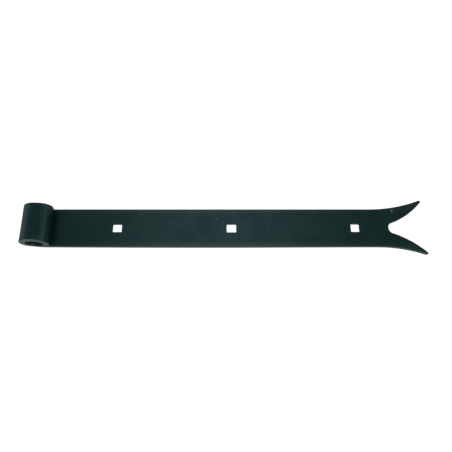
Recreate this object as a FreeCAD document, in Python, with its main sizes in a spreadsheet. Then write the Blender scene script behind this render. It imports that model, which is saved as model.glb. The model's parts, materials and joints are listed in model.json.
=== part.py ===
"""Strap hinge leaf with a rolled eye, square bolt holes and a fishtail end.

Frame: millimetres, +Z up. The origin is the middle of the eye's bore. +Y runs along
the bore, +X runs along the strap from the eye to the tail, and +Z is the side that
faces away from the door or gate. The leaf lies on its back face.
"""
import FreeCAD, Part
import math
import os

import Sketcher

Vector = FreeCAD.Vector

# Driving dimensions in millimetres. Distances along the strap start at the eye's axis.
DIMENSIONS = {
    "bar_width": 35.0,          # width of the flat bar, and length of the eye
    "bar_thickness": 5.0,       # thickness of the flat bar, and wall of the eye
    "bore_radius": 7.5,         # inside radius of the rolled eye, for a 14 mm pintle
    "seam_gap": 0.3,            # gap left between the roll's free end and the strap
    "first_hole": 69.5,         # eye axis to the centre of each bolt hole
    "middle_hole": 173.2,
    "last_hole": 285.5,
    "hole_side": 8.5,           # square hole for the neck of an M8 carriage bolt
    "hole_corner": 0.7,         # corner radius that the square punch leaves
    "flare_start": 303.0,       # where the edges start to spread into the fishtail
    "notch_root": 315.3,        # bottom of the notch between the two prongs
    "notch_radius": 5.5,        # round bottom of the notch
    "horn_radius": 76.0,        # curve of each prong's inner edge
    "tip_reach": 350.3,         # how far the prongs' points reach
    "tip_spread": 26.7,         # centre line to a prong's point
    "tip_radius": 1.0,          # small round on each point
    "edge_radius": 0.4,         # soft edge of rolled bar all round
    "weld_length": 8.0,         # length of each weld that closes the roll
    "weld_recess": 0.4,         # how far the welds are dressed below the eye's end faces
    "weld_toe": 3.0,            # where the weld runs out on the strap, from the eye's axis
}


def make_sheet(doc):
    """Put every driving dimension in its own cell, with its name as alias."""
    sheet = doc.addObject("Spreadsheet::Sheet", "Dimensions")
    for row, (alias, value) in enumerate(DIMENSIONS.items(), start=1):
        sheet.set(f"A{row}", alias)
        sheet.set(f"B{row}", str(value))
        sheet.setAlias(f"B{row}", alias)
    doc.recompute()
    return sheet


def cell(alias):
    """Expression text for a cell."""
    return f"Dimensions.{alias}"


def origin_plane(body, role):
    """The body's own origin plane with this role."""
    return next(item for item in body.Origin.OriginFeatures if item.Role == role)


def new_sketch(body, name, role, height=None):
    """A sketch on one of the body's origin planes, raised by an expression if given."""
    sketch = body.newObject("Sketcher::SketchObject", name)
    sketch.AttachmentSupport = [(origin_plane(body, role), "")]
    sketch.MapMode = "FlatFace"
    if height is not None:
        sketch.setExpression("AttachmentOffset.Base.z", height)
    return sketch


def bind(sketch, name, constraint, expression):
    """Add a named dimension to a sketch and drive it from the sheet."""
    index = sketch.addConstraint(constraint)
    sketch.renameConstraint(index, name)
    sketch.setExpression(f"Constraints.{name}", expression)


def line(start, end):
    return Part.LineSegment(Vector(*start, 0), Vector(*end, 0))


def arc(centre, radius, start_angle, end_angle):
    """Counter-clockwise arc, angles in radians."""
    circle = Part.Circle(Vector(*centre, 0), Vector(0, 0, 1), radius)
    return Part.ArcOfCircle(circle, start_angle, end_angle)


def angle_from(centre, point):
    return math.atan2(point[1] - centre[1], point[0] - centre[0])


def join(sketch, first, first_end, second, second_end):
    """Make two curve ends meet. End 1 is a curve's start, end 2 its finish."""
    sketch.addConstraint(Sketcher.Constraint("Coincident", first, first_end, second, second_end))


def roll_end_angle(sheet):
    """Direction, from the bore's axis, in which the roll's free end stops."""
    outer_radius = sheet.bore_radius + sheet.bar_thickness
    return -math.asin((sheet.bore_radius - sheet.seam_gap) / outer_radius)


def sketch_roll(body, sheet):
    """Side view of the bar: flat from the tail to the eye, then rolled round the bore."""
    bore = sheet.bore_radius
    outer = bore + sheet.bar_thickness
    far = sheet.flare_start
    stop = roll_end_angle(sheet)
    sketch = new_sketch(body, "RollProfile", "XZ_Plane")
    back = sketch.addGeometry(line((0, -outer), (far, -outer)))
    end = sketch.addGeometry(line((far, -outer), (far, -bore)))
    front = sketch.addGeometry(line((far, -bore), (0, -bore)))
    inside = sketch.addGeometry(arc((0, 0), bore, stop, 1.5 * math.pi))
    inner_lip = (bore * math.cos(stop), bore * math.sin(stop))
    outer_lip = (outer * math.cos(stop), outer * math.sin(stop))
    lip = sketch.addGeometry(line(inner_lip, outer_lip))
    outside = sketch.addGeometry(arc((0, 0), outer, stop, 1.5 * math.pi))
    join(sketch, inside, 3, -1, 1)
    join(sketch, outside, 3, -1, 1)
    join(sketch, back, 2, end, 1)
    join(sketch, end, 2, front, 1)
    join(sketch, inside, 1, lip, 1)
    join(sketch, lip, 2, outside, 1)
    sketch.addConstraint(Sketcher.Constraint("Tangent", front, 2, inside, 2))
    sketch.addConstraint(Sketcher.Constraint("Tangent", back, 1, outside, 2))
    sketch.addConstraint(Sketcher.Constraint("Horizontal", back))
    sketch.addConstraint(Sketcher.Constraint("Horizontal", front))
    sketch.addConstraint(Sketcher.Constraint("Vertical", end))
    sketch.addConstraint(Sketcher.Constraint("PointOnObject", -1, 1, lip))
    bind(sketch, "Bore", Sketcher.Constraint("Radius", inside, bore), cell("bore_radius"))
    bind(sketch, "Wall", Sketcher.Constraint("Radius", outside, outer),
         f"{cell('bore_radius')} + {cell('bar_thickness')}")
    bind(sketch, "BarEnd", Sketcher.Constraint("DistanceX", -1, 1, end, 1, far), cell("flare_start"))
    bind(sketch, "SeamGap", Sketcher.Constraint("DistanceY", front, 1, lip, 2, sheet.seam_gap),
         cell("seam_gap"))
    return sketch


def prong_shape(sheet):
    """Centres and joins of the arcs of one prong, as a first position for its sketch.

    The outer arc leaves the bar's edge at a tangent and ends at the prong's point. The inner
    arc runs from that point to the round bottom of the notch, which it also meets at a tangent.
    """
    half = sheet.bar_width / 2
    rise = sheet.tip_spread - half
    run = sheet.tip_reach - sheet.flare_start
    outer_radius = (run ** 2 + rise ** 2) / (2 * rise)
    tip = (sheet.tip_reach, sheet.tip_spread)
    notch = (sheet.notch_root + sheet.notch_radius, 0.0)
    reach = math.dist(notch, tip)
    notch_side = sheet.notch_radius + sheet.horn_radius
    along = (notch_side ** 2 - sheet.horn_radius ** 2 + reach ** 2) / (2 * reach)
    across = math.sqrt(notch_side ** 2 - along ** 2)
    step = ((tip[0] - notch[0]) / reach, (tip[1] - notch[1]) / reach)
    horn = (notch[0] + step[0] * along - step[1] * across,
            notch[1] + step[1] * along + step[0] * across)
    share = sheet.notch_radius / notch_side
    meet = (notch[0] + (horn[0] - notch[0]) * share, horn[1] * share)
    return {"outer_centre": (sheet.flare_start, half + outer_radius), "outer_radius": outer_radius,
            "tip": tip, "notch": notch, "horn": horn, "meet": meet}


def sketch_prong(body, sheet):
    """Top view of one half of the fishtail, from the centre line out to the prong."""
    shape = prong_shape(sheet)
    half = sheet.bar_width / 2
    start = sheet.flare_start
    sketch = new_sketch(body, "ProngOutline", "XY_Plane",
                        f"-{cell('bore_radius')} - {cell('bar_thickness')}")
    centre = sketch.addGeometry(line((start, 0), (sheet.notch_root, 0)))
    notch = sketch.addGeometry(arc(shape["notch"], sheet.notch_radius,
                                   angle_from(shape["notch"], shape["meet"]), math.pi))
    horn = sketch.addGeometry(arc(shape["horn"], sheet.horn_radius,
                                  angle_from(shape["horn"], shape["meet"]),
                                  angle_from(shape["horn"], shape["tip"])))
    flare = sketch.addGeometry(arc(shape["outer_centre"], shape["outer_radius"],
                                   -math.pi / 2, angle_from(shape["outer_centre"], shape["tip"])))
    base = sketch.addGeometry(line((start, half), (start, 0)))
    join(sketch, centre, 2, notch, 2)
    join(sketch, horn, 2, flare, 2)
    join(sketch, flare, 1, base, 1)
    join(sketch, base, 2, centre, 1)
    sketch.addConstraint(Sketcher.Constraint("Tangent", notch, 1, horn, 1))
    sketch.addConstraint(Sketcher.Constraint("Horizontal", centre))
    sketch.addConstraint(Sketcher.Constraint("PointOnObject", centre, 1, -1))
    sketch.addConstraint(Sketcher.Constraint("PointOnObject", notch, 3, -1))
    sketch.addConstraint(Sketcher.Constraint("Vertical", base))
    sketch.addConstraint(Sketcher.Constraint("Vertical", flare, 3, flare, 1))
    bind(sketch, "Start", Sketcher.Constraint("DistanceX", -1, 1, centre, 1, start), cell("flare_start"))
    bind(sketch, "HalfWidth", Sketcher.Constraint("DistanceY", base, 2, base, 1, half),
         f"{cell('bar_width')} / 2")
    bind(sketch, "NotchRoot", Sketcher.Constraint("DistanceX", -1, 1, centre, 2, sheet.notch_root),
         cell("notch_root"))
    bind(sketch, "NotchRound", Sketcher.Constraint("Radius", notch, sheet.notch_radius),
         cell("notch_radius"))
    bind(sketch, "HornCurve", Sketcher.Constraint("Radius", horn, sheet.horn_radius),
         cell("horn_radius"))
    bind(sketch, "TipReach", Sketcher.Constraint("DistanceX", -1, 1, flare, 2, sheet.tip_reach),
         cell("tip_reach"))
    bind(sketch, "TipSpread", Sketcher.Constraint("DistanceY", -1, 1, flare, 2, sheet.tip_spread),
         cell("tip_spread"))
    return sketch


def sketch_holes(body, sheet):
    """Three square bolt holes on the strap's centre line."""
    sketch = new_sketch(body, "BoltHoles", "XY_Plane", f"-{cell('bore_radius')}")
    side = sheet.hole_side
    low = -side / 2
    for name in ("first_hole", "middle_hole", "last_hole"):
        left = getattr(sheet, name) - side / 2
        corners = [(left, low), (left + side, low), (left + side, low + side), (left, low + side)]
        edges = [sketch.addGeometry(line(corners[k], corners[(k + 1) % 4])) for k in range(4)]
        for k in range(4):
            join(sketch, edges[k], 2, edges[(k + 1) % 4], 1)
            direction = "Horizontal" if k % 2 == 0 else "Vertical"
            sketch.addConstraint(Sketcher.Constraint(direction, edges[k]))
        label = name.split("_")[0].title()
        bind(sketch, f"{label}Place", Sketcher.Constraint("DistanceX", -1, 1, edges[0], 1, left),
             f"{cell(name)} - {cell('hole_side')} / 2")
        bind(sketch, f"{label}Low", Sketcher.Constraint("DistanceY", edges[0], 1, -1, 1, -low),
             f"{cell('hole_side')} / 2")
        bind(sketch, f"{label}Length", Sketcher.Constraint("DistanceX", edges[0], 1, edges[0], 2, side),
             cell("hole_side"))
        bind(sketch, f"{label}Width", Sketcher.Constraint("DistanceY", edges[1], 1, edges[1], 2, side),
             cell("hole_side"))
    return sketch


def edge_names(shape, wanted):
    """Names of the shape's edges for which wanted(edge) is true."""
    return [f"Edge{k}" for k, edge in enumerate(shape.Edges, start=1) if wanted(edge)]


def is_upright(edge):
    """True for a straight edge parallel to Z."""
    start = edge.Vertexes[0].Point
    end = edge.Vertexes[-1].Point
    return isinstance(edge.Curve, Part.Line) and math.hypot(start.x - end.x, start.y - end.y) < 1e-6


def add_fillet(doc, body, base, name, wanted, radius):
    """Round the chosen edges of a feature, with a radius from the sheet."""
    fillet = body.newObject("PartDesign::Fillet", name)
    fillet.Base = (base, edge_names(base.Shape, wanted))
    fillet.setExpression("Radius", radius)
    doc.recompute()
    return fillet


def make_strap(doc, sheet):
    """The one bar of steel: flat strap, rolled eye, square holes and fishtail."""
    body = doc.addObject("PartDesign::Body", "Strap")
    body.Label = "strap"

    bar = body.newObject("PartDesign::Pad", "RolledBar")
    bar.Profile = sketch_roll(body, sheet)
    bar.SideType = "Symmetric"
    bar.setExpression("Length", cell("bar_width"))
    doc.recompute()

    prong = body.newObject("PartDesign::Pad", "Prong")
    prong.Profile = sketch_prong(body, sheet)
    prong.setExpression("Length", cell("bar_thickness"))
    doc.recompute()

    tail = body.newObject("PartDesign::Mirrored", "Fishtail")
    tail.Originals = [prong]
    tail.MirrorPlane = (origin_plane(body, "XZ_Plane"), [""])
    body.Tip = tail
    doc.recompute()

    solid_volume = tail.Shape.Volume
    holes = body.newObject("PartDesign::Pocket", "SquareHoles")
    holes.Profile = sketch_holes(body, sheet)
    holes.setExpression("Length", cell("bar_thickness"))
    doc.recompute()
    expected = 3 * sheet.hole_side ** 2 * sheet.bar_thickness
    if abs(solid_volume - holes.Shape.Volume - expected) > 1:
        raise RuntimeError("the square holes were not cut right through")

    inside_bar = sheet.flare_start
    corners = add_fillet(doc, body, holes, "HoleCorners",
                         lambda edge: is_upright(edge) and edge.CenterOfMass.x < inside_bar - 1,
                         cell("hole_corner"))
    tips = add_fillet(doc, body, corners, "TipRounds",
                      lambda edge: is_upright(edge) and edge.CenterOfMass.x > sheet.tip_reach - 1,
                      cell("tip_radius"))
    add_fillet(doc, body, tips, "SoftEdges", lambda edge: is_soft_edge(edge, sheet), cell("edge_radius"))
    return body


def is_soft_edge(edge, sheet):
    """True for the edges round the strap's plan outline and round the eye's two ends."""
    outer = sheet.bore_radius + sheet.bar_thickness
    box = edge.BoundBox
    flat = box.ZLength < 1e-6
    level = abs(box.ZMin + outer) < 1e-6 or abs(box.ZMin + sheet.bore_radius) < 1e-6
    across = box.XLength < 1e-6 and box.YLength > sheet.bar_width - 1
    in_hole = abs(edge.CenterOfMass.y) < sheet.hole_side and edge.CenterOfMass.x < sheet.flare_start
    round_end = isinstance(edge.Curve, Part.Circle) and box.YLength < 1e-6
    return (flat and level and not across and not in_hole) or round_end


def make_welds(doc, sheet):
    """Two welds, one at each end of the eye, that close the roll's free end onto the strap."""
    bore = sheet.bore_radius
    outer = bore + sheet.bar_thickness
    stop = roll_end_angle(sheet)
    toe = sheet.weld_toe
    toe_height = -math.sqrt(bore ** 2 - toe ** 2)
    inner_lip = (bore * math.cos(stop), bore * math.sin(stop))
    outer_lip = (outer * math.cos(stop), outer * math.sin(stop))

    body = doc.addObject("PartDesign::Body", "WeldRun")
    sketch = new_sketch(body, "WeldSection", "XZ_Plane")
    strap_side = sketch.addGeometry(line((toe, -bore), (outer_lip[0], -bore)))
    seam = sketch.addGeometry(line((outer_lip[0], -bore), outer_lip))
    lip = sketch.addGeometry(line(outer_lip, inner_lip))
    inside = sketch.addGeometry(arc((0, 0), bore, angle_from((0, 0), (toe, toe_height)), stop))
    toe_end = sketch.addGeometry(line((toe, toe_height), (toe, -bore)))
    join(sketch, inside, 3, -1, 1)
    join(sketch, strap_side, 2, seam, 1)
    join(sketch, seam, 2, lip, 1)
    join(sketch, lip, 2, inside, 2)
    join(sketch, inside, 1, toe_end, 1)
    join(sketch, toe_end, 2, strap_side, 1)
    sketch.addConstraint(Sketcher.Constraint("Horizontal", strap_side))
    sketch.addConstraint(Sketcher.Constraint("Vertical", seam))
    sketch.addConstraint(Sketcher.Constraint("Vertical", toe_end))
    sketch.addConstraint(Sketcher.Constraint("PointOnObject", -1, 1, lip))
    bind(sketch, "Bore", Sketcher.Constraint("Radius", inside, bore), cell("bore_radius"))
    bind(sketch, "StrapSide", Sketcher.Constraint("DistanceY", strap_side, 1, -1, 1, bore),
         cell("bore_radius"))
    bind(sketch, "Toe", Sketcher.Constraint("DistanceX", -1, 1, strap_side, 1, toe), cell("weld_toe"))
    bind(sketch, "SeamGap", Sketcher.Constraint("DistanceY", seam, 1, seam, 2, sheet.seam_gap),
         cell("seam_gap"))
    bind(sketch, "LipLength", Sketcher.Constraint("Distance", lip, 1, lip, 2, sheet.bar_thickness),
         cell("bar_thickness"))
    run = body.newObject("PartDesign::Pad", "FullRun")
    run.Profile = sketch
    run.SideType = "Symmetric"
    run.setExpression("Length", f"{cell('bar_width')} - 2 * {cell('weld_recess')}")
    doc.recompute()

    middle = doc.addObject("Part::Box", "OpenSeam")
    middle.setExpression("Length", cell("bar_width"))
    middle.setExpression("Height", cell("bar_width"))
    middle.setExpression("Width", f"{cell('bar_width')} - 2 * {cell('weld_recess')} "
                                  f"- 2 * {cell('weld_length')}")
    middle.setExpression("Placement.Base.y", f"-({cell('bar_width')} / 2 - {cell('weld_recess')} "
                                             f"- {cell('weld_length')})")
    middle.setExpression("Placement.Base.z", f"-{cell('bar_width')} / 2")
    welds = doc.addObject("Part::Cut", "EyeSeamWelds")
    welds.Base = body
    welds.Tool = middle
    welds.Label = "eye_seam_welds"
    doc.recompute()
    return welds


def check(doc, pieces):
    """Stop if any object failed, or a piece is empty, invalid or has too few solids."""
    for item in doc.Objects:
        if "Invalid" in item.State or "Error" in item.State:
            raise RuntimeError(f"{item.Name} failed: {item.State}")
    for piece, solids in pieces:
        shape = piece.Shape
        if shape.isNull() or not shape.isValid() or len(shape.Solids) != solids:
            raise RuntimeError(f"{piece.Label} is not {solids} valid solid(s)")


def main():
    doc = FreeCAD.newDocument("StrapHinge")
    sheet = make_sheet(doc)
    pieces = [(make_strap(doc, sheet), 1), (make_welds(doc, sheet), 2)]
    check(doc, pieces)
    os.makedirs("parts", exist_ok=True)
    for piece, _ in pieces:
        piece.Shape.exportStep(f"parts/{piece.Label}.step")


main()
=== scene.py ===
"""Strap hinge leaf: looks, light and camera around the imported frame. Metres, +Z up."""
import json
import math

import bmesh
import bpy
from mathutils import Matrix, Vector
from mathutils.geometry import tessellate_polygon


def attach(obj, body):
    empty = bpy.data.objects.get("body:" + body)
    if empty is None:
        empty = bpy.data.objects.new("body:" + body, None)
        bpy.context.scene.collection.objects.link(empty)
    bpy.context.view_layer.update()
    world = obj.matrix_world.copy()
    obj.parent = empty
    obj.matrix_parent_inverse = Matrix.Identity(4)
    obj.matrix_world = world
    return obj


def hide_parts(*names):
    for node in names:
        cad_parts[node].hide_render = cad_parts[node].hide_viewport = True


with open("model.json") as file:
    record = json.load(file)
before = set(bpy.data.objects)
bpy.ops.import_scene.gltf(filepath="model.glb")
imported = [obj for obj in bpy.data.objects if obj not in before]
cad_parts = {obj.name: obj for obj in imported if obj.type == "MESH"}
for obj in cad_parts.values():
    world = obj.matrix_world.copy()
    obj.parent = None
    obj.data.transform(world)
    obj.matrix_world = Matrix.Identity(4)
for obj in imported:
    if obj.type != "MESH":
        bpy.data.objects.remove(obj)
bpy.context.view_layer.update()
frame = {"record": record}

MM = 0.001

# ---------------------------------------------------------------------------
# Sizes. The frame gives the overall ones. The others are its shapes and its small unevennesses.
# ---------------------------------------------------------------------------
mounts = {mount["name"]: mount for mount in frame["record"]["mounts"]}
BORE = mounts["eye_bore"]["dims"]["r_mm"] * MM
HOLES = [mounts[f"{name}_bolt_hole"]["pos_m"][0] for name in ("first", "middle", "last")]
BACK = mounts["back_face"]["pos_m"][2]  # height of the strap's back face
FRONT = -BORE                           # height of its front face, level with the bore's bottom
OUTER = -BACK                           # outside radius of the eye
THICK = FRONT - BACK                    # thickness of the bar
HALF_WIDTH = 17.5 * MM                  # half the bar's width

# Outline
HOLE_ROUND = 0.7 * MM                   # corner radius of a square hole
NOTCH_ROOT = 315.3 * MM                 # bottom of the notch
NOTCH_ROUND = 5.5 * MM                  # radius of the notch's bottom
NOTCH_SIDE = -0.15 * MM                 # the notch is cut a little off the centre line

# No hole is quite 8.5 mm square. Length and width of each.
HOLE_SIZES = [Vector(size) * MM for size in ((9.1, 8.15), (8.7, 8.5), (8.85, 8.4))]

# The two prongs aren't alike. "tip" is where a prong's two edges would cross, measured outwards,
# and "point" is the radius that rounds it off. "flare" is where its outer edge leaves the bar's,
# and "horn" is the radius of its inner edge.
FAR_PRONG = {"tip": Vector((350.2, 27.9)) * MM, "point": 1.3 * MM, "flare": 299.5 * MM, "horn": 68 * MM}
NEAR_PRONG = {"tip": Vector((350.4, 25.5)) * MM, "point": 0.65 * MM, "flare": 306.5 * MM, "horn": 84 * MM}

# Soft edges. Each stretch of the outline has a share of the full rounding.
EDGE_ROUND = 0.55 * MM                  # full rounding, on the bar's long edges
CURVE_SOFT = 0.8                        # share on the prongs' long curves
POINT_SOFT = 0.7                        # share on the prongs' points
HOLE_SOFT = 0.5                         # share on the holes
EDGE_STEPS = 5                          # steps round each soft edge
SUPPORT = 0.2 * MM                      # flat rim kept beside each soft edge

# Eye. Rolling stretches its outside and squeezes its inside.
SEAM_GAP = 0.3 * MM                     # between the roll's free end and the strap
DRAWN_IN = 0.85 * MM                    # how much rolling draws in the eye's outside at each end
SQUEEZED_OUT = 0.15 * MM                # how much it squeezes out the bore's rim
EDGE_ZONE = 9.0 * MM                    # how far from each end of the eye this is felt
BEND_START = -6 * MM                    # the draw starts on the flat, this far along the roll
BEND_FULL = 9 * MM                      # and is full this far along it
FREE_END_SPARED = 0.8                   # share of the draw that the free end is spared
SPARED_OVER = 1.4                       # it is spared from half a turn on, fully at this many half turns
OUT_OF_SQUARE = Vector((0.25, 0.65)) * MM   # how far the left corner of the eye's near end stands out
CORNER_START = 0.25 * OUTER             # how far left of the bore's axis that corner starts
ROLL_SLICES = 150                       # slices round the roll

# Bow of the bar's near side and its holes
NEAR_BOW = 0.42 * MM                    # how far the bar's near side swells
BOW_MIDDLE = 140.0 * MM                 # where it swells most
BOW_REACH = 160.0 * MM                  # and how far that is felt each way
BAR_SLICE = 20 * MM                     # the bar is sliced this often, so that it can bow
BAR_SLICES = 14

# Welds
WELD_LENGTH = 8.0 * MM                  # length of each closing weld
WELD_RECESS = 0.3 * MM                  # how far it stops short of the eye's end
WELD_TOE = 3.0 * MM                     # where it runs out on the strap, from the eye's axis
WELD_RIPPLE = 1.1 * MM                  # spacing of the ripples
WELD_STEPS = 48                         # steps along each weld
WELD_FILL = 1.03                        # size of the bead's section, as a share of the seam's
RIPPLE_HEIGHT = 0.03                    # how much larger again each ripple makes it
INNER_TAPER = 0.15                      # share of its length over which it thins to its inner end
INNER_SIZE = 0.55                       # share of its section left at that end
OUTER_DOME = 0.92                       # share of its length where its outer end starts to dome
OUTER_SIZE = 0.80                       # share of its section left at that end

# What follows from them
ROLL_STOP = math.asin((BORE - SEAM_GAP) / OUTER)   # how far the free end stops below level
ROLL_SWEEP = 1.5 * math.pi + ROLL_STOP             # angle the bar is rolled through
ROLL_RADIUS = (BORE + OUTER) / 2                   # radius to the middle of the bar's thickness
ROLL_LENGTH = ROLL_RADIUS * ROLL_SWEEP             # bar used up in the roll


# ---------------------------------------------------------------------------
# The bar drawn flat, as loops of (point, normal out of the steel, softness)
# ---------------------------------------------------------------------------
def line_run(start, end, steps, soft=1.0):
    """Points along a straight edge with the steel on its left, without the last one."""
    start, end = Vector(start), Vector(end)
    along = (end - start).normalized()
    normal = Vector((along.y, -along.x))
    return [(start.lerp(end, k / steps), normal, soft) for k in range(steps)]


def arc_run(centre, radius, start, end, steps, soft=1.0):
    """Points along an arc, without the last one. The edge is hollow where the angle falls."""
    centre = Vector(centre)
    side = 1 if end > start else -1
    points = []
    for k in range(steps):
        angle = start + (end - start) * k / steps
        spoke = Vector((math.cos(angle), math.sin(angle)))
        points.append((centre + spoke * radius, spoke * side, soft))
    return points


def spoke_angle(centre, point):
    return math.atan2(point.y - centre.y, point.x - centre.x)


def circles_cross(first, first_radius, second, second_radius):
    """Where two circles cross, on the left of the way from the first centre to the second."""
    way = second - first
    along = (first_radius ** 2 - second_radius ** 2 + way.length_squared) / (2 * way.length)
    across = math.sqrt(first_radius ** 2 - along ** 2)
    step = way.normalized()
    return first + step * along + Vector((-step.y, step.x)) * across


def prong_run(prong, side):
    """A prong on the far side: the notch's bottom, its inner edge, its point and its outer edge.

    The notch's centre line lies side away from the strap's.
    """
    tip, flare_start = prong["tip"], prong["flare"]
    point_round, horn_round = prong["point"], prong["horn"]
    notch = Vector((NOTCH_ROOT + NOTCH_ROUND, side))
    horn = circles_cross(notch, NOTCH_ROUND + horn_round, tip, horn_round)
    run, rise = tip.x - flare_start, tip.y - HALF_WIDTH
    flare_round = (run ** 2 + rise ** 2) / (2 * rise)
    flare = Vector((flare_start, HALF_WIDTH + flare_round))
    point = circles_cross(flare, flare_round + point_round, horn, horn_round - point_round)
    meet = spoke_angle(notch, horn)
    inner_end = spoke_angle(horn, point)
    outer_end = spoke_angle(flare, point)
    points = arc_run(notch, NOTCH_ROUND, math.pi, meet, 16)
    points += arc_run(horn, horn_round, meet - math.pi, inner_end, 48, CURVE_SOFT)
    points += arc_run(point, point_round, inner_end, outer_end + math.pi, 12, POINT_SOFT)
    points += arc_run(flare, flare_round, outer_end, -math.pi / 2, 48, CURVE_SOFT)
    return points


def mirrored(points):
    """The same run on the other side of the centre line, in the opposite order."""
    return [(Vector((p.x, -p.y)), Vector((n.x, -n.y)), soft) for p, n, soft in reversed(points)]


def bar_outline():
    """The whole bar unrolled, anticlockwise from the near corner of the roll's free end.

    Both prongs start at the notch's bottom, so the near one leaves that point out.
    """
    outline = line_run((-ROLL_LENGTH, -HALF_WIDTH), (NEAR_PRONG["flare"], -HALF_WIDTH), 60)
    outline += mirrored(prong_run(NEAR_PRONG, -NOTCH_SIDE)[1:])
    outline += prong_run(FAR_PRONG, NOTCH_SIDE)
    outline += line_run((FAR_PRONG["flare"], HALF_WIDTH), (-ROLL_LENGTH, HALF_WIDTH), 60)
    outline += line_run((-ROLL_LENGTH, HALF_WIDTH), (-ROLL_LENGTH, -HALF_WIDTH), 6)
    return outline


def hole_outline(middle, size):
    """A square hole with rounded corners, clockwise, so the steel stays on the left."""
    flat = size / 2 - Vector((HOLE_ROUND, HOLE_ROUND))
    points = []
    for k in range(4):
        turn = -k * math.pi / 2
        corner = Vector((math.cos(turn) - math.sin(turn), math.sin(turn) + math.cos(turn))) * flat
        points += arc_run(corner, HOLE_ROUND, turn + math.pi / 2, turn, 6, HOLE_SOFT)
    return [(Vector((p.x + middle, p.y)), n, soft) for p, n, soft in points]


# ---------------------------------------------------------------------------
# Meshes
# ---------------------------------------------------------------------------
def edge_profile(radius):
    """Rings from the back face round the edge to the front face: (inset, height, wear).

    Wear is 1 on the soft edges and falls to 0 on the flat faces and on the side wall.
    """
    quarter = [k / EDGE_STEPS * math.pi / 2 for k in range(EDGE_STEPS + 1)]
    low = [(radius * (1 - math.sin(a)), radius * (1 - math.cos(a)), 1.0) for a in quarter]
    rings = [(radius + SUPPORT, 0.0, 0.0)]
    rings += low
    rings += [(0.0, THICK / 2, 0.0)]
    rings += [(inset, THICK - height, wear) for inset, height, wear in reversed(low)]
    rings += [(radius + SUPPORT, THICK, 0.0)]
    return rings


def add_wall(bm, wear_layer, loop):
    """Rings round one loop, joined by quads. Returns its innermost back and front rings."""
    columns = []
    for point, normal, soft in loop:
        column = []
        for inset, height, wear in edge_profile(EDGE_ROUND * soft):
            place = point - normal * inset
            vert = bm.verts.new((place.x, place.y, height))
            vert[wear_layer] = wear
            column.append(vert)
        columns.append(column)
    for here, after in zip(columns, columns[1:] + columns[:1]):
        for k in range(len(here) - 1):
            bm.faces.new((here[k], after[k], after[k + 1], here[k + 1]))
    return [column[0] for column in columns], [column[-1] for column in columns]


def add_cap(bm, loops, upward):
    """Fill one flat face between the outer ring and the holes' rings."""
    verts = [vert for loop in loops for vert in loop]
    for corner in tessellate_polygon([[vert.co for vert in loop] for loop in loops]):
        a, b, c = (verts[k] for k in corner)
        face = bm.faces.new((a, b, c))
        face.normal_update()
        if (face.normal.z > 0) != upward:
            face.normal_flip()


def slice_across(bm, places):
    """Cut the whole mesh at each of these distances along the strap."""
    for place in places:
        everything = bm.verts[:] + bm.edges[:] + bm.faces[:]
        bmesh.ops.bisect_plane(bm, geom=everything, dist=1e-7, plane_co=(place, 0, 0), plane_no=(1, 0, 0))


def smooth_step(value, low, high):
    share = min(max((value - low) / (high - low), 0.0), 1.0)
    return share * share * (3 - 2 * share)


def edge_draw(place):
    """Sideways move of a point of the flat bar as it is rolled.

    Rolling stretches the outside of the bend, so its edges draw in, and squeezes the inside, so
    the bore's rim stands out. The free end is bent less, so it keeps more of its width.
    """
    half_turn = ROLL_RADIUS * math.pi
    bend = smooth_step(-place.x, BEND_START, BEND_FULL)
    bend *= 1 - FREE_END_SPARED * smooth_step(-place.x, half_turn, half_turn * SPARED_OVER)
    near_edge = smooth_step(abs(place.y), HALF_WIDTH - EDGE_ZONE, HALF_WIDTH)
    inward = DRAWN_IN + (-SQUEEZED_OUT - DRAWN_IN) * place.z / THICK
    return -math.copysign(inward * bend * near_edge, place.y)


def bow(place):
    """Sideways move of a point of a bar that isn't quite straight.

    The near edge and the row of holes bow towards the viewer, and the far edge was dressed straight.
    """
    off_middle = min(abs(place.x - BOW_MIDDLE) / BOW_REACH, 1.0)
    far_side = min(max(place.y / HALF_WIDTH, 0.0), 1.0)
    return -NEAR_BOW * (1 - off_middle ** 2) ** 2 * (1 - far_side)


def rolled(place):
    """Where a point of the flat bar goes when the bar's end is rolled round the bore."""
    across = place.y + edge_draw(place) + bow(place)
    if place.x >= 0:
        point = Vector((place.x, across, BACK + place.z))
    else:
        turn = place.x / ROLL_RADIUS - math.pi / 2
        reach = OUTER - place.z
        point = Vector((reach * math.cos(turn), across, reach * math.sin(turn)))
    corner = smooth_step(-place.y, HALF_WIDTH - EDGE_ZONE, HALF_WIDTH)
    corner *= smooth_step(-point.x, CORNER_START, OUTER)
    point.xy -= OUT_OF_SQUARE * corner
    return point


def make_object(name, bm, material):
    mesh = bpy.data.meshes.new(name)
    bm.to_mesh(mesh)
    bm.free()
    for polygon in mesh.polygons:
        polygon.use_smooth = True
    mesh.materials.append(material)
    piece = bpy.data.objects.new(name, mesh)
    bpy.context.scene.collection.objects.link(piece)
    return piece


def weigh_normals(piece):
    """Keep the flat faces flat and the soft edges smooth."""
    weighted = piece.modifiers.new("weighted_normals", "WEIGHTED_NORMAL")
    weighted.mode = "FACE_AREA"
    weighted.weight = 100
    weighted.keep_sharp = True


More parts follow.
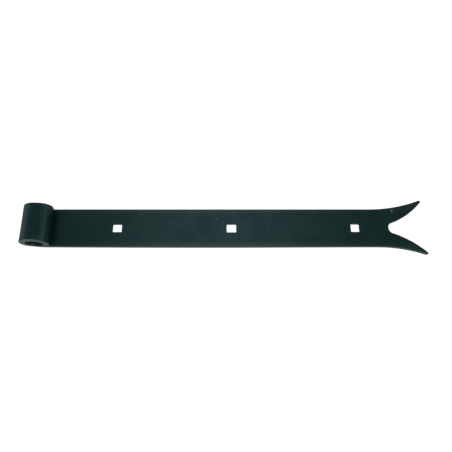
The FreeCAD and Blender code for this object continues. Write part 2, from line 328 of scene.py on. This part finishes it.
def build_strap(material):
    """The bar: walls round its outline and holes, flat faces, then the eye rolled up."""
    bm = bmesh.new()
    wear_layer = bm.verts.layers.float.new("edge_wear")
    holes = [hole_outline(middle, size) for middle, size in zip(HOLES, HOLE_SIZES)]
    rings = [add_wall(bm, wear_layer, loop) for loop in [bar_outline()] + holes]
    add_cap(bm, [back for back, front in rings], upward=False)
    add_cap(bm, [front for back, front in rings], upward=True)
    slice_across(bm, [-ROLL_LENGTH * k / ROLL_SLICES for k in range(ROLL_SLICES)])
    slice_across(bm, [BAR_SLICE * k for k in range(1, BAR_SLICES + 1)])
    bmesh.ops.remove_doubles(bm, verts=bm.verts[:], dist=1e-6)
    for vert in bm.verts:
        vert.co = rolled(vert.co)
    bmesh.ops.recalc_face_normals(bm, faces=bm.faces[:])
    strap = make_object("strap_bar", bm, material)
    weigh_normals(strap)
    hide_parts("strap")
    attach(strap, "root")
    return strap


def weld_section(grow):
    """Outline of a closing weld seen along the bore: under the free end, down onto the strap."""
    lip_in = Vector((BORE * math.cos(ROLL_STOP), -BORE * math.sin(ROLL_STOP)))
    lip_out = Vector((OUTER * math.cos(ROLL_STOP), -OUTER * math.sin(ROLL_STOP)))
    start = math.atan2(-math.sqrt(BORE ** 2 - WELD_TOE ** 2), WELD_TOE)
    hollow = [start + (-ROLL_STOP - start) * k / 10 for k in range(11)]
    points = [Vector((BORE * math.cos(a), BORE * math.sin(a))) for a in hollow]
    points += [lip_in.lerp(lip_out, k / 5) for k in range(1, 6)]
    points += [Vector((lip_out.x + (WELD_TOE - lip_out.x) * k / 9, FRONT)) for k in range(1, 10)]
    middle = sum(points, Vector((0, 0))) / len(points)
    return [middle + (p - middle) * grow for p in points]


def build_weld(material):
    """The two closing welds: laid in short overlapping ripples, domed where they end."""
    bm = bmesh.new()
    for side in (-1, 1):
        rings = []
        for k in range(WELD_STEPS + 1):
            share = k / WELD_STEPS
            along = HALF_WIDTH - WELD_RECESS - WELD_LENGTH * (1 - share)
            dome = max(0.0, (share - OUTER_DOME) / (1 - OUTER_DOME))
            grow = WELD_FILL + RIPPLE_HEIGHT * abs(math.sin(math.pi * along / WELD_RIPPLE))
            grow *= INNER_SIZE + (1 - INNER_SIZE) * smooth_step(share, 0.0, INNER_TAPER)
            grow *= OUTER_SIZE + (1 - OUTER_SIZE) * math.sqrt(max(0.0, 1 - dome ** 2))
            section = weld_section(grow)
            rings.append([bm.verts.new((p.x, side * along, p.y)) for p in section])
        for here, after in zip(rings, rings[1:]):
            for k in range(len(here)):
                m = (k + 1) % len(here)
                bm.faces.new((here[k], here[m], after[m], after[k]))
        bm.faces.new(rings[0])
        bm.faces.new(rings[-1])
    bmesh.ops.triangulate(bm, faces=[face for face in bm.faces if len(face.verts) > 4])
    bmesh.ops.recalc_face_normals(bm, faces=bm.faces[:])
    weld = make_object("eye_weld_beads", bm, material)
    weigh_normals(weld)
    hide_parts("eye_seam_welds")
    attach(weld, "root")
    return weld


# ---------------------------------------------------------------------------
# Materials
# ---------------------------------------------------------------------------
class Nodes:
    """Short calls for building a material's or the world's node tree."""

    def __init__(self, owner):
        owner.use_nodes = True
        self.tree = owner.node_tree
        self.tree.nodes.clear()

    def add(self, kind, inputs=None, **settings):
        node = self.tree.nodes.new(kind)
        for name, value in settings.items():
            setattr(node, name, value)
        for name, value in (inputs or {}).items():
            if isinstance(value, bpy.types.NodeSocket):
                self.tree.links.new(value, node.inputs[name])
            else:
                node.inputs[name].default_value = value
        return node

    def math(self, operation, first, second=0.0):
        return self.add("ShaderNodeMath", {0: first, 1: second}, operation=operation).outputs[0]

    def vector(self, operation, first, second):
        return self.add("ShaderNodeVectorMath", {0: first, 1: second}, operation=operation).outputs["Vector"]

    def length(self, vector):
        return self.add("ShaderNodeVectorMath", {0: vector}, operation="LENGTH").outputs["Value"]

    def ramp(self, factor, low, high, to_low=0.0, to_high=1.0):
        """Map low..high smoothly to to_low..to_high."""
        sockets = {"Value": factor, "From Min": low, "From Max": high, "To Min": to_low, "To Max": to_high}
        return self.add("ShaderNodeMapRange", sockets, interpolation_type="SMOOTHSTEP").outputs["Result"]

    def noise(self, place, scale, detail=3.0, roughness=0.5):
        sockets = {"Vector": place, "Scale": scale, "Detail": detail, "Roughness": roughness}
        return self.add("ShaderNodeTexNoise", sockets).outputs["Fac"]

    def mix(self, factor, first, second):
        sockets = {"Factor_Float": factor, "A_Color": first, "B_Color": second}
        node = self.add("ShaderNodeMix", data_type="RGBA")
        by_identifier = {socket.identifier: socket for socket in node.inputs}
        for name, value in sockets.items():
            if isinstance(value, bpy.types.NodeSocket):
                self.tree.links.new(value, by_identifier[name])
            else:
                by_identifier[name].default_value = value
        return {socket.identifier: socket for socket in node.outputs}["Result_Color"]


COAT_COLOUR = (0.0089, 0.0246, 0.0243, 1.0)   # black-green coating
COAT_DARK = (0.0068, 0.0184, 0.0189, 1.0)     # the same where it lies thicker
SHEEN_GREEN = (0.29, 0.95, 0.94, 1.0)         # tints of what it mirrors from above
SHEEN_GREY = (0.40, 0.94, 1.0, 1.0)
PAINTED_SHEEN_COLOUR = (0.24, 0.37, 0.37, 1.0)          # painted reflection of the bright table on faces that look sideways, and painted light inside the bore
# pale dust for the marks and specks, also used for the painted glare along the long edges
DUST_AND_GLARE_COLOUR = (0.30, 0.33, 0.32, 1.0)
STEEL_COLOUR = (0.35, 0.38, 0.38, 1.0)

RIM_GLARE = 0.035                              # shares of the paler colours mixed into the coating; this first one is painted glare along the long edges
# shares of painted reflection on the faces that look sideways, by the eye and on the strap
SHEEN_BY_EYE = 0.38
SHEEN_ON_STRAP = 0.16
# share of painted light inside the bore
BORE_PAINTED_LIGHT = 0.10
RUBBED = 0.10
SPECKLED = 0.10

# Small pale nicks, specks, scuffs and a pale spot: middle and half sizes in millimetres, strength
MARKS = (
    ((319.9, 15.7, -7.5), (1.5, 2.2, 1.0), 0.65),    # nick at the root of the far prong
    ((320.8, 17.4, -7.5), (1.6, 1.0, 1.0), 0.20),    # and the chip beside it
    ((159.6, 8.0, -7.5), (1.2, 1.4, 1.0), 0.10),     # specks on the strap's front
    ((90.2, 12.6, -7.5), (1.5, 1.5, 1.0), 0.07),
    ((124.5, -12.9, -7.5), (1.3, 1.3, 1.0), 0.05),
    ((206.4, -2.1, -7.5), (1.6, 1.3, 1.0), 0.05),
    ((7.3, 6.8, 10.2), (1.4, 1.6, 1.4), 0.07),       # specks on the eye
    ((2.3, -8.0, 12.3), (2.0, 1.4, 1.0), 0.06),
    ((12.2, -12.8, 2.6), (0.8, 4.2, 1.2), 0.07),     # scuff along the eye's side
    ((-4.4, -16.9, -6.1), (1.3, 1.1, 1.1), 1.00),    # pale spot low in the bore, near its mouth
)


def marked(nodes, place):
    """How strongly the marks show at a place. Fine noise makes their outlines ragged."""
    ragged = nodes.add("ShaderNodeTexNoise", {"Vector": place, "Scale": 1300.0, "Detail": 3.0})
    shift = nodes.vector("SUBTRACT", ragged.outputs["Color"], (0.5, 0.5, 0.5))
    shift = nodes.vector("MULTIPLY", shift, (2.0, 2.0, 2.0))
    total = 0.0
    for middle, size, strength in MARKS:
        away = nodes.vector("SUBTRACT", place, [value * MM for value in middle])
        away = nodes.vector("DIVIDE", away, [value * MM for value in size])
        length = nodes.length(nodes.vector("ADD", away, shift))
        total = nodes.math("ADD", nodes.ramp(length, 0.4, 0.9, strength, 0.0), total)
    return total


def coat_colour(nodes, place):
    """Uneven coating, a paler band along the long edges that is painted glare, painted reflection on the
    faces that look sideways, and painted light inside the bore.
    """
    cloud = nodes.ramp(nodes.noise(place, 60.0, 4.0), 0.3, 0.7)
    shade = nodes.mix(cloud, COAT_DARK, COAT_COLOUR)

    # Painted glare: a paler band along the bar's long edges, strongest at the edge and fading over 6 mm.
    axes = nodes.add("ShaderNodeSeparateXYZ", {"Vector": place}).outputs
    rim = nodes.ramp(nodes.math("ABSOLUTE", axes["Y"]), HALF_WIDTH - 6 * MM, HALF_WIDTH)
    rim = nodes.math("POWER", rim, 1.2)
    shade = nodes.mix(nodes.math("MULTIPLY", rim, RIM_GLARE), shade, DUST_AND_GLARE_COLOUR)

    # Painted reflection: faces that look sideways, the eye's ends and the bar's side walls, are made paler
    # as if they mirrored the bright table.
    facing = nodes.add("ShaderNodeNewGeometry").outputs["Normal"]
    sideways = nodes.math("ABSOLUTE", nodes.add("ShaderNodeSeparateXYZ", {"Vector": facing}).outputs["Y"])
    side_sheen_mask = nodes.ramp(sideways, 0.7, 1.0)
    amount = nodes.ramp(axes["X"], 12 * MM, 24 * MM, SHEEN_BY_EYE, SHEEN_ON_STRAP)
    shade = nodes.mix(nodes.math("MULTIPLY", side_sheen_mask, amount), shade, PAINTED_SHEEN_COLOUR)

    # Painted light: the inside of the bore is made paler, standing in for light reaching in through its
    # ends.
    radius = nodes.length(nodes.vector("MULTIPLY", place, (1.0, 0.0, 1.0)))
    inside = nodes.ramp(radius, BORE + 0.2 * MM, BORE + 0.7 * MM, 1.0, 0.0)
    inside = nodes.math("MULTIPLY", inside, nodes.math("SUBTRACT", 1.0, side_sheen_mask))
    return nodes.mix(nodes.math("MULTIPLY", inside, BORE_PAINTED_LIGHT), shade, PAINTED_SHEEN_COLOUR)


def worn(nodes, place, shade):
    """Edges rubbed to the steel here and there, the marks, and a few fine specks of dust."""
    wear = nodes.add("ShaderNodeAttribute", attribute_name="edge_wear").outputs["Fac"]
    rub = nodes.math("MULTIPLY", wear, nodes.ramp(nodes.noise(place, 350.0, 4.0), 0.62, 0.78))
    shade = nodes.mix(nodes.math("MULTIPLY", rub, RUBBED), shade, STEEL_COLOUR)
    shade = nodes.mix(marked(nodes, place), shade, DUST_AND_GLARE_COLOUR)
    cells = nodes.add("ShaderNodeTexVoronoi", {"Vector": place, "Scale": 170.0})
    pick = nodes.add("ShaderNodeSeparateColor", {"Color": cells.outputs["Color"]}).outputs[0]
    speck = nodes.ramp(cells.outputs["Distance"], 0.04, 0.11, 1.0, 0.0)
    speck = nodes.math("MULTIPLY", speck, nodes.math("GREATER_THAN", pick, 0.95))
    return nodes.mix(nodes.math("MULTIPLY", speck, SPECKLED), shade, DUST_AND_GLARE_COLOUR)


def orange_peel(nodes, place):
    """Normals of a dip coating: orange peel over fine grain."""
    peel = nodes.noise(place, 260.0, 2.0)
    grain = nodes.noise(place, 900.0, 3.0)
    height = nodes.math("ADD", peel, nodes.math("MULTIPLY", grain, 0.25))
    bump = nodes.add("ShaderNodeBump", {"Height": height, "Strength": 0.2, "Distance": 0.4 * MM})
    return bump.outputs["Normal"]


def roughness(nodes, place):
    """Uneven gloss, in patches and in streaks that follow the rolling direction."""
    drawn = nodes.vector("MULTIPLY", place, (0.12, 1.0, 1.0))
    streaks = nodes.noise(drawn, 320.0, 4.0)
    patches = nodes.noise(place, 140.0, 5.0)
    uneven = nodes.math("ADD", nodes.math("MULTIPLY", patches, 0.6), nodes.math("MULTIPLY", streaks, 0.4))
    return nodes.ramp(uneven, 0.3, 0.7, 0.24, 0.34)


def coating():
    """Satin black-green coating on hot-rolled bar."""
    material = bpy.data.materials.new("black_green_coating")
    nodes = Nodes(material)
    place = nodes.add("ShaderNodeTexCoord").outputs["Object"]
    tint = nodes.ramp(nodes.noise(place, 38.0, 3.0), 0.35, 0.65)
    surface = nodes.add("ShaderNodeBsdfPrincipled", {
        "Base Color": worn(nodes, place, coat_colour(nodes, place)),
        "Roughness": roughness(nodes, place),
        "Normal": orange_peel(nodes, place),
        "Specular Tint": nodes.mix(tint, SHEEN_GREEN, SHEEN_GREY),
        "IOR": 1.5,
    })
    nodes.add("ShaderNodeOutputMaterial", {"Surface": surface.outputs[0]})
    return material


def paper():
    """The plain pale table that the leaf lies on. Its glow is for the camera only."""
    material = bpy.data.materials.new("white_table")
    nodes = Nodes(material)
    matt = nodes.add("ShaderNodeBsdfDiffuse", {"Color": (0.85, 0.85, 0.85, 1.0)})
    seen = nodes.add("ShaderNodeLightPath").outputs["Is Camera Ray"]
    glow = nodes.add("ShaderNodeEmission", {"Strength": nodes.math("MULTIPLY", seen, 0.9)})
    both = nodes.add("ShaderNodeAddShader", {0: matt.outputs[0], 1: glow.outputs[0]})
    nodes.add("ShaderNodeOutputMaterial", {"Surface": both.outputs[0]})
    return material


# ---------------------------------------------------------------------------
# Table, light and camera
# ---------------------------------------------------------------------------
TABLE_HALF = 6.0                           # half the table's side
TABLE_MIDDLE = Vector((0.17, 0, BACK))     # under the middle of the leaf


def make_floor():
    bm = bmesh.new()
    bmesh.ops.create_grid(bm, x_segments=1, y_segments=1, size=TABLE_HALF)
    floor = make_object("table", bm, paper())
    floor.location = TABLE_MIDDLE


def make_world():
    """A light tent: bright low down, dimmer overhead. Its wall looks as white as the table."""
    world = bpy.data.worlds.new("tent")
    bpy.context.scene.world = world
    nodes = Nodes(world)
    place = nodes.add("ShaderNodeTexCoord").outputs["Generated"]
    up = nodes.add("ShaderNodeSeparateXYZ", {"Vector": place}).outputs["Z"]
    seen = nodes.add("ShaderNodeLightPath").outputs["Is Camera Ray"]
    strength = nodes.math("MAXIMUM", nodes.ramp(up, 0.0, 0.8, 0.85, 0.30), seen)
    light = nodes.add("ShaderNodeBackground", {"Color": (1.0, 1.0, 1.0, 1.0), "Strength": strength})
    nodes.add("ShaderNodeOutputWorld", {"Surface": light.outputs[0]})


POOL_AIM = Vector((0.161, 0, FRONT))       # middle of the pool of light on the strap
POOL_FROM = Vector((0.12, -0.05, 0.60))    # the lamp, seen from there
POOL_ANGLE = math.radians(22)              # full angle of its cone
POOL_SIZE = 0.05                           # radius of the lamp
POOL_POWER = 21.0                          # in watts
POOL_COLOUR = (1.0, 0.70, 0.72)            # a warm lamp against the cool coating


def make_pool(pieces):
    """A soft pool of light on the middle of the strap. It lights only the leaf and makes no glints."""
    data = bpy.data.lights.new("pool", "SPOT")
    data.energy = POOL_POWER
    data.color = POOL_COLOUR
    data.spot_size = POOL_ANGLE
    data.spot_blend = 1.0
    data.shadow_soft_size = POOL_SIZE
    light = bpy.data.objects.new("pool", data)
    light.location = POOL_AIM + POOL_FROM
    light.rotation_euler = (-POOL_FROM).to_track_quat("-Z", "Y").to_euler()
    light.visible_glossy = False
    bpy.context.scene.collection.objects.link(light)
    lit = bpy.data.collections.new("lit_by_pool")
    for piece in pieces:
        lit.objects.link(piece)
    light.light_linking.receiver_collection = lit


SENSOR = 36.0                       # width of the camera's sensor, in millimetres
LENS = 34.56                        # focal length, in millimetres
LENS_SHIFT = 0.0073                 # sideways shift of the picture, as a share of its width
ELEVATION = math.radians(72.31)     # how steeply the camera looks down
DISTANCE = 398.1 * MM               # from the camera to the point it looks at
AIM = Vector((165.25 * MM, 2.93 * MM, BACK))
NEAREST = 10 * MM                   # nothing closer than this is drawn


def make_camera():
    data = bpy.data.cameras.new("camera")
    data.sensor_width = SENSOR
    data.lens = LENS
    data.shift_x = LENS_SHIFT
    data.clip_start = NEAREST
    camera = bpy.data.objects.new("camera", data)
    back = Vector((0, -math.cos(ELEVATION), math.sin(ELEVATION)))
    camera.location = AIM + back * DISTANCE
    camera.rotation_euler = (-back).to_track_quat("-Z", "Y").to_euler()
    bpy.context.scene.collection.objects.link(camera)
    bpy.context.scene.camera = camera


def main():
    coat = coating()
    strap = build_strap(coat)
    weld = build_weld(coat)
    make_floor()
    make_world()
    make_pool([strap, weld])
    make_camera()
    view = bpy.context.scene.view_settings
    view.view_transform = "Standard"
    view.look = "None"


main()
